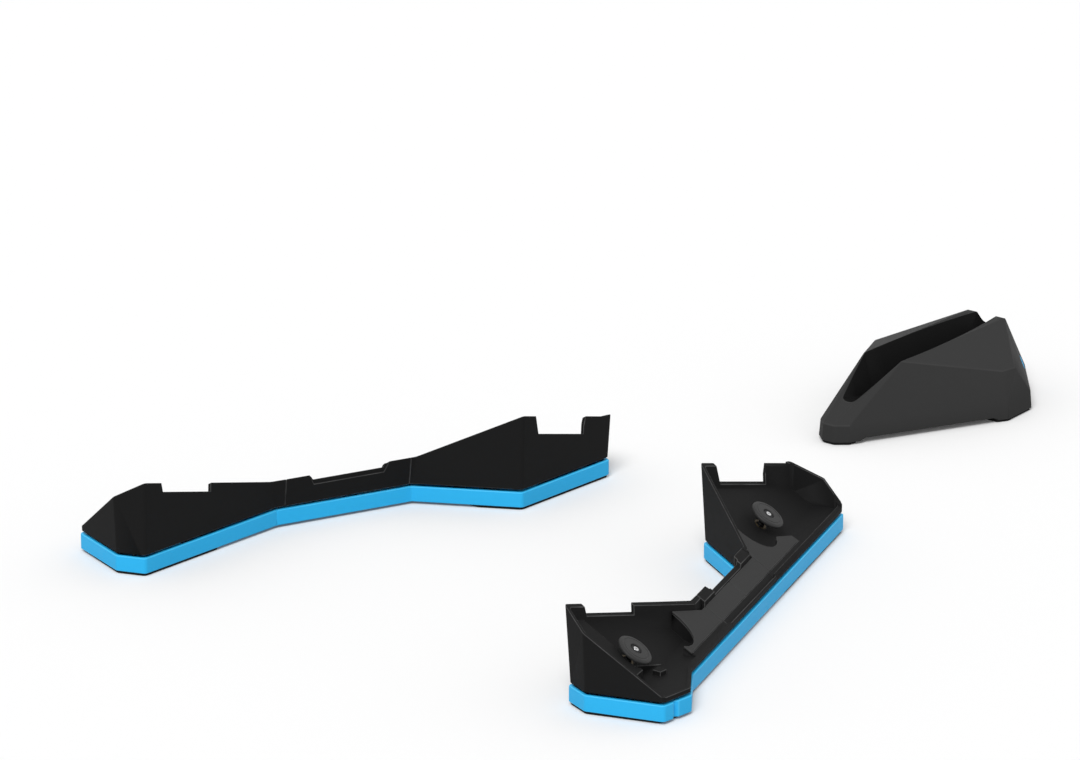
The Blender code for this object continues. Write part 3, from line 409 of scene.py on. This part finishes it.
def keepPiece(name, bm, standsFor, finish=None):
    mesh = bpy.data.meshes.new(name)
    bm.to_mesh(mesh)
    bm.free()
    mesh.polygons.foreach_set("use_smooth", [True] * len(mesh.polygons))
    mesh.set_sharp_from_angle(angle=math.radians(shadingValues["sharpAngle"]))
    piece = bpy.data.objects.new(name, mesh)
    scene.collection.objects.link(piece)
    mesh.materials.append(finish or materials[slotOf[standsFor]])
    even = piece.modifiers.new("evenShading", "WEIGHTED_NORMAL")
    even.keep_sharp = True
    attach(piece, bodyOf[standsFor])
    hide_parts(standsFor)
    return piece


# Rounded edges. A copy of a node is merged and its flat faces are made whole, then its sharp
# edges are bevelled. Where a spot is too tight and the surface would stray, its edges stay sharp.
softValues = {"merge": 0.02, "flat": 0.1, "least": 28.0, "short": 1.0, "near": 1.5, "tries": 9,
              "segments": 2, "outward": 0.6, "blockOutward": 1.0, "inward": 1.05,
              "flipDistance": 0.02, "flipDot": -0.2, "smallArea": 0.5}
softWidths = {"base": 1.0, "rear_tray": 0.6, "front_tray": 0.6, "bar_beam": 0.6,
              "rear_deck": 0.9, "front_deck": 0.9, "bar_cover_front": 0.9,
              "bar_cover_rear": 0.9, "rear_foot": 0.4, "front_foot": 0.4}
blockWidths = {"block_shell": 1.0, "block_base_plate": 0.5, "block_rear_foot": 0.5,
               "block_front_foot": 0.5}
grooveValues = {"depth": 2.5}
triangleSpots = ((1 / 3, 1 / 3, 1 / 3), (0.8, 0.1, 0.1), (0.1, 0.8, 0.1), (0.1, 0.1, 0.8),
                 (0.45, 0.45, 0.1), (0.1, 0.45, 0.45), (0.45, 0.1, 0.45))


def mergedCopy(node):
    v = softValues
    bm = bmesh.new()
    bm.from_mesh(nodes[node].data)
    bmesh.ops.remove_doubles(bm, verts=bm.verts, dist=v["merge"] * mm)
    bmesh.ops.dissolve_degenerate(bm, dist=v["merge"] * mm, edges=bm.edges)
    bmesh.ops.dissolve_limit(bm, angle_limit=math.radians(v["flat"]), verts=bm.verts,
                             edges=bm.edges)
    bm.normal_update()
    return bm


# Spots spread over each triangle that isn't tiny, with its normal and its corners.
def surfaceSamples(bm):
    samples = []
    for loops in bm.calc_loop_triangles():
        corners = [loop.vert.co.copy() for loop in loops]
        normal = (corners[1] - corners[0]).cross(corners[2] - corners[0])
        if normal.length > 2 * softValues["smallArea"] * mm * mm:
            spots = [sum((corner * part for corner, part in zip(corners, shares)), Vector())
                     for shares in triangleSpots]
            samples.append((spots, normal.normalized(), corners))
    return samples


# Points of one surface that lie too far from the other, or face the wrong way on it.
def strayed(samples, tree, most):
    v = softValues
    found = set()
    for spots, normal, corners in samples:
        for spot in spots:
            hit, hitNormal, index, distance = tree.find_nearest(spot)
            facing = hitNormal.dot(normal)
            turned = distance < v["flipDistance"] * mm and facing < v["flipDot"]
            if distance > most * mm or turned:
                found.update(point.copy().freeze() for point in (spot, *corners))
    return found


def distanceTo(edge, point):
    start, run = edge.verts[0].co, edge.verts[1].co - edge.verts[0].co
    share = max(0.0, min(1.0, (point - start).dot(run) / run.length_squared))
    return (start + run * share - point).length


# The faces of the riser's groove lie well inside the shell's outline. They get a blacker colour, painted shade for
# the dim inside of the groove, and their rim stays crisp.
def grooveFaces(bm):
    outline = bmesh.new()
    for vert in bm.verts:
        outline.verts.new(vert.co)
    bmesh.ops.convex_hull(outline, input=outline.verts)
    tree = BVHTree.FromBMesh(outline)
    outline.free()
    deep = grooveValues["depth"] * mm
    return {face for face in bm.faces if tree.find_nearest(face.calc_center_median())[3] > deep}


def softCopy(node, width, outward):
    v = softValues
    plain = mergedCopy(node)
    plainTree, plainSamples = BVHTree.FromBMesh(plain), surfaceSamples(plain)
    plain.free()
    tight = set()
    for attempt in range(v["tries"]):
        bm = mergedCopy(node)
        highlightLayer = bm.faces.layers.float.new("edgeHighlightMark")
        groove = grooveFaces(bm) if node == "block_shell" else set()
        sharp = [edge for edge in bm.edges
                 if len(edge.link_faces) == 2 and edge.calc_length() > v["short"] * mm
                 and edge.calc_face_angle(0.0) > math.radians(v["least"])
                 and not groove.intersection(edge.link_faces)
                 and not any(distanceTo(edge, spot) < v["near"] * mm for spot in tight)]
        rounded = bmesh.ops.bevel(bm, geom=sharp, offset=width * mm, offset_type="OFFSET",
                                  affect="EDGES", segments=v["segments"], profile=0.5,
                                  clamp_overlap=False, material=-1, loop_slide=True)
        for face in rounded["faces"]:       # an outer edge gets the painted highlight, an inner corner doesn't
            middle = face.calc_center_median()
            hit, hitNormal = plainTree.find_nearest(middle)[:2]
            face[highlightLayer] = float((middle - hit).dot(hitNormal) < 0.0)
        bm.normal_update()
        found = strayed(surfaceSamples(bm), plainTree, width * outward)
        found |= strayed(plainSamples, BVHTree.FromBMesh(bm), width * v["inward"])
        if not found or found <= tight or attempt == v["tries"] - 1:
            print("  ", node, len(sharp), "edges rounded,", len(found), "points astray")
            return bm
        tight |= found
        bm.free()


def mirroredCopy(bm):
    copy = bm.copy()
    bmesh.ops.scale(copy, vec=(1.0, -1.0, 1.0), verts=copy.verts)
    bmesh.ops.reverse_faces(copy, faces=copy.faces)
    return copy


def makeMouldings():
    for ending, width in softWidths.items():
        left = softCopy("left_" + ending, width, softValues["outward"])
        right = mirroredCopy(left)
        keepPiece("left_" + ending + "_moulding", left, "left_" + ending)
        keepPiece("right_" + ending + "_moulding", right, "right_" + ending)
    for node, width in blockWidths.items():
        bm = softCopy(node, width, softValues["blockOutward"])
        grooved = grooveFaces(bm) if node == "block_shell" else set()
        # The groove's faces take the painted shade.
        for face in grooved:
            face.material_index = 1
        piece = keepPiece(node + "_moulding", bm, node)
        if grooved:
            piece.data.materials.append(grooveShadeMaterial)


makeMouldings()
print("mouldings ready")

profileValues = {"steps": 3, "reach": 0.48, "merge": 0.002}


# Rounds a profile's corners: each point is its radius, its height and its rounding, in mm.
def roundedProfile(points):
    v = profileValues
    rounded = []
    count = len(points)
    for index, (radius, height, rounding) in enumerate(points):
        here = Vector((radius, height))
        before = Vector(points[index - 1][:2]) - here
        after = Vector(points[(index + 1) % count][:2]) - here
        if rounding <= 0.0:
            rounded.append(here)
            continue
        reach = min(rounding, before.length * v["reach"], after.length * v["reach"])
        start = here + before.normalized() * reach
        stop = here + after.normalized() * reach
        for step in range(v["steps"] + 1):
            share = step / v["steps"]
            rounded.append(start * (1 - share) ** 2 + here * 2 * share * (1 - share)
                           + stop * share ** 2)
    return rounded


# Spins a profile about Z. A closed profile goes round a bore, an open one ends on the axis.
def spunProfile(points, steps, closed=True):
    bm = bmesh.new()
    verts = [bm.verts.new((max(point.x, 0.0) * mm, 0.0, point.y * mm))
             for point in roundedProfile(points)]
    edges = [bm.edges.new(pair) for pair in zip(verts, verts[1:])]
    if closed:
        edges.append(bm.edges.new((verts[-1], verts[0])))
    bmesh.ops.spin(bm, geom=verts + edges, cent=(0.0, 0.0, 0.0), axis=(0.0, 0.0, 1.0),
                   angle=2 * math.pi, steps=steps, use_merge=True)
    bmesh.ops.remove_doubles(bm, verts=bm.verts, dist=profileValues["merge"] * mm)
    bmesh.ops.recalc_face_normals(bm, faces=bm.faces)
    return bm


def placeAlong(bm, place, axis):
    turn = Vector(axis).normalized().to_track_quat("Z", "Y").to_matrix().to_4x4()
    bmesh.ops.transform(bm, matrix=Matrix.Translation(Vector(place)) @ turn, verts=bm.verts)
    return bm


# A round height pad: a faintly domed disc with a rounded edge, a shallow ring and a sunk seat
# for its screw.
padValues = {"sides": 56,
             "profile": ((4.35, -6.0, 0.0), (15.7, -6.0, 0.6), (16.5, -4.8, 0.5),
                         (19.3, -4.2, 0.8), (19.3, -1.44, 2.4), (16.9, -0.3, 0.6),
                         (15.0, -0.15, 0.2), (14.6, -0.5, 0.2), (13.8, -0.5, 0.2),
                         (13.4, -0.09, 0.2), (6.9, 0.0, 0.7), (6.2, -0.7, 0.3),
                         (6.2, -2.4, 0.3), (4.35, -2.4, 0.0))}


def makePad(node, place, axis):
    disc = spunProfile(padValues["profile"], padValues["sides"])
    keepPiece(node + "_disc", placeAlong(disc, place, axis), node, padPlastic)


screwValues = {"tip": -24.5, "point": 2.9, "root": 3.4, "stem": 3.98, "threadLow": -23.7,
               "turns": 7, "pitch": 2.5, "crest": (0.4, 0.6), "runOut": 0.6, "headLow": -2.1,
               "head": 5.7, "flangeTop": -0.9, "collar": 0.3, "button": 2.9,
               "buttonTop": -0.25, "socket": 1.3, "socketRim": 0.3, "socketDepth": 0.9,
               "darkBelow": -0.75, "darkBeyond": 2.0, "sides": 36}


# A pad's screw: a blackened flange round a bright button with a hexagonal socket, over a
# threaded stem.
def makeScrew(node, place, axis):
    v = screwValues
    points = [(0.0, v["tip"], 0.0), (v["point"], v["tip"], 0.2)]
    height = v["threadLow"]
    for turn in range(v["turns"]):
        points.append((v["root"], height, 0.0))
        points += [(v["stem"], height + v["pitch"] * share, 0.0) for share in v["crest"]]
        height += v["pitch"]
    points += [(v["root"], height, 0.0), (v["stem"], height + v["runOut"], 0.0),
               (v["stem"], v["headLow"], 0.0), (v["head"], v["headLow"], 0.2),
               (v["head"], v["flangeTop"], 0.5),
               (v["button"] + v["collar"], v["flangeTop"], 0.1),
               (v["button"], v["flangeTop"] + v["collar"], 0.1),
               (v["button"], v["buttonTop"], 0.6),
               (v["socket"] + v["socketRim"], v["buttonTop"], 0.0)]
    bm = spunProfile(points, v["sides"], closed=False)
    rim = [edge for edge in bm.edges if len(edge.link_faces) == 1]
    # The open rim becomes the socket's hexagon.
    sixth = math.pi / 3
    flat = v["socket"] * math.cos(sixth / 2)
    for vert in {vert for edge in rim for vert in edge.verts}:
        around = math.atan2(vert.co.y, vert.co.x)
        reach = flat / math.cos(around % sixth - sixth / 2)
        vert.co.x, vert.co.y = reach * mm * math.cos(around), reach * mm * math.sin(around)
    wall = bmesh.ops.extrude_edge_only(bm, edges=rim)["geom"]
    bmesh.ops.translate(bm, vec=(0.0, 0.0, -v["socketDepth"] * mm),
                        verts=[part for part in wall if isinstance(part, bmesh.types.BMVert)])
    openEdges = [edge for edge in bm.edges if len(edge.link_faces) == 1]
    bmesh.ops.holes_fill(bm, edges=openEdges, sides=0)
    bmesh.ops.recalc_face_normals(bm, faces=bm.faces)
    for face in bm.faces:
        middle = face.calc_center_median()
        if middle.z < v["darkBelow"] * mm and middle.xy.length > v["darkBeyond"] * mm:
            face.material_index = 1
    screw = keepPiece(node + "_fastener", placeAlong(bm, place, axis), node)
    screw.data.materials.append(darkSteel)


# A threaded bush, sunk in the tray's floor.
insertValues = {"sides": 40,
                "profile": ((4.35, -25.975, 0.0), (7.0, -25.975, 0.3), (7.0, -15.975, 0.5),
                            (5.15, -15.975, 0.1), (4.35, -16.775, 0.1))}


def makeInsert(node, place, axis):
    bush = spunProfile(insertValues["profile"], insertValues["sides"])
    keepPiece(node + "_bush", placeAlong(bush, place, axis), node)


def makePads():
    for side in sides:
        for end in ("rear", "front"):
            node = "%s_%s_pad" % (side, end)
            joint = joints[node + "_turn"]
            makePad(node, joint["pos_m"], joint["axis"])
            makeScrew(node + "_screw", joint["pos_m"], joint["axis"])
            makeInsert(node + "_insert", joint["pos_m"], joint["axis"])


makePads()
print("pads ready")

# Nylon rollers with dished faces and a groove round the tread, on necked steel axles. Each
# profile is one half. The other half mirrors it.
rollerValues = {"sides": 44,
                "profile": ((2.8, -6.0, 0.2), (4.4, -6.0, 0.2), (4.8, -5.4, 0.2),
                            (5.8, -5.4, 0.2), (6.2, -6.0, 0.2), (6.6, -6.0, 0.3),
                            (7.5, -5.1, 0.4), (7.5, -0.9, 0.0), (7.15, -0.5, 0.1))}
axleValues = {"sides": 28,
              "profile": ((0.0, -12.5, 0.0), (2.0, -12.5, 0.0), (2.5, -12.0, 0.0),
                          (2.5, -10.5, 0.0), (2.1, -10.3, 0.0), (2.1, -9.3, 0.0),
                          (2.5, -9.1, 0.0))}
rollerCount = 4


def bothHalves(half):
    return half + tuple((radius, -height, rounding) for radius, height, rounding in half[::-1])


def makeRollers():
    tread, pin = bothHalves(rollerValues["profile"]), bothHalves(axleValues["profile"])
    for side in sides:
        for number in range(1, rollerCount + 1):
            node = "%s_roller_%d" % (side, number)
            joint = joints[node + "_spin"]
            wheel = spunProfile(tread, rollerValues["sides"])
            axle = spunProfile(pin, axleValues["sides"], closed=False)
            keepPiece(node + "_wheel", placeAlong(wheel, joint["pos_m"], joint["axis"]), node)
            keepPiece(node + "_pin", placeAlong(axle, joint["pos_m"], joint["axis"]),
                      node + "_axle")


makeRollers()
print("rollers ready")

stopValues = {"radius": 3.2, "foot": 0.3, "edge": 0.6, "collar": 0.25, "ringsAt": (-0.2, 0.5),
              "ringReach": 1.2, "ringFlat": 0.8, "ringSoft": 0.1, "sides": 32}


# The rubber posts that end the plates' travel, with two shallow rings.
def makeStops():
    v = stopValues
    radius, waist, soft = v["radius"], v["radius"] - v["collar"], v["ringSoft"]
    for side in sides:
        node = side + "_travel_stop"
        low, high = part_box(node)
        half = (high.z - low.z) / 2 / mm
        profile = [(0.0, -half, 0.0), (radius, -half, v["foot"])]
        for share in v["ringsAt"]:
            height = half * share
            profile += [(radius, height - v["ringReach"], soft),
                        (waist, height - v["ringFlat"], soft),
                        (waist, height + v["ringFlat"], soft),
                        (radius, height + v["ringReach"], soft)]
        profile += [(radius, half, v["edge"]), (0.0, half, 0.0)]
        post = spunProfile(profile, v["sides"], closed=False)
        keepPiece(node + "_post", placeAlong(post, (low + high) / 2, (0.0, 0.0, 1.0)), node)


makeStops()
print("stops ready")

# The block's bare round inlays: a raised rim round a faintly dished face.
badgeValues = {"rim": 0.4, "sides": 48,
               "profile": ((0.0, -1.2, 0.0), (9.0, -1.2, 0.1), (9.0, 0.4, 0.3),
                           (7.8, 0.4, 0.2), (7.4, 0.15, 0.2), (0.0, 0.1, 0.0))}


def makeBadges():
    v = badgeValues
    for side in sides:
        node = "block_badge_" + side
        plain = mergedCopy(node)
        caps = sorted(plain.faces, key=lambda face: face.calc_area())[-2:]
        outer = max(caps, key=lambda cap: cap.calc_center_median().x)     # it looks forward
        middle, normal = outer.calc_center_median(), outer.normal.copy()
        plain.free()
        badge = spunProfile(v["profile"], v["sides"], closed=False)
        place = middle - normal * v["rim"] * mm
        keepPiece(node + "_inlay", placeAlong(badge, place, normal), node)


makeBadges()
print("badges ready")
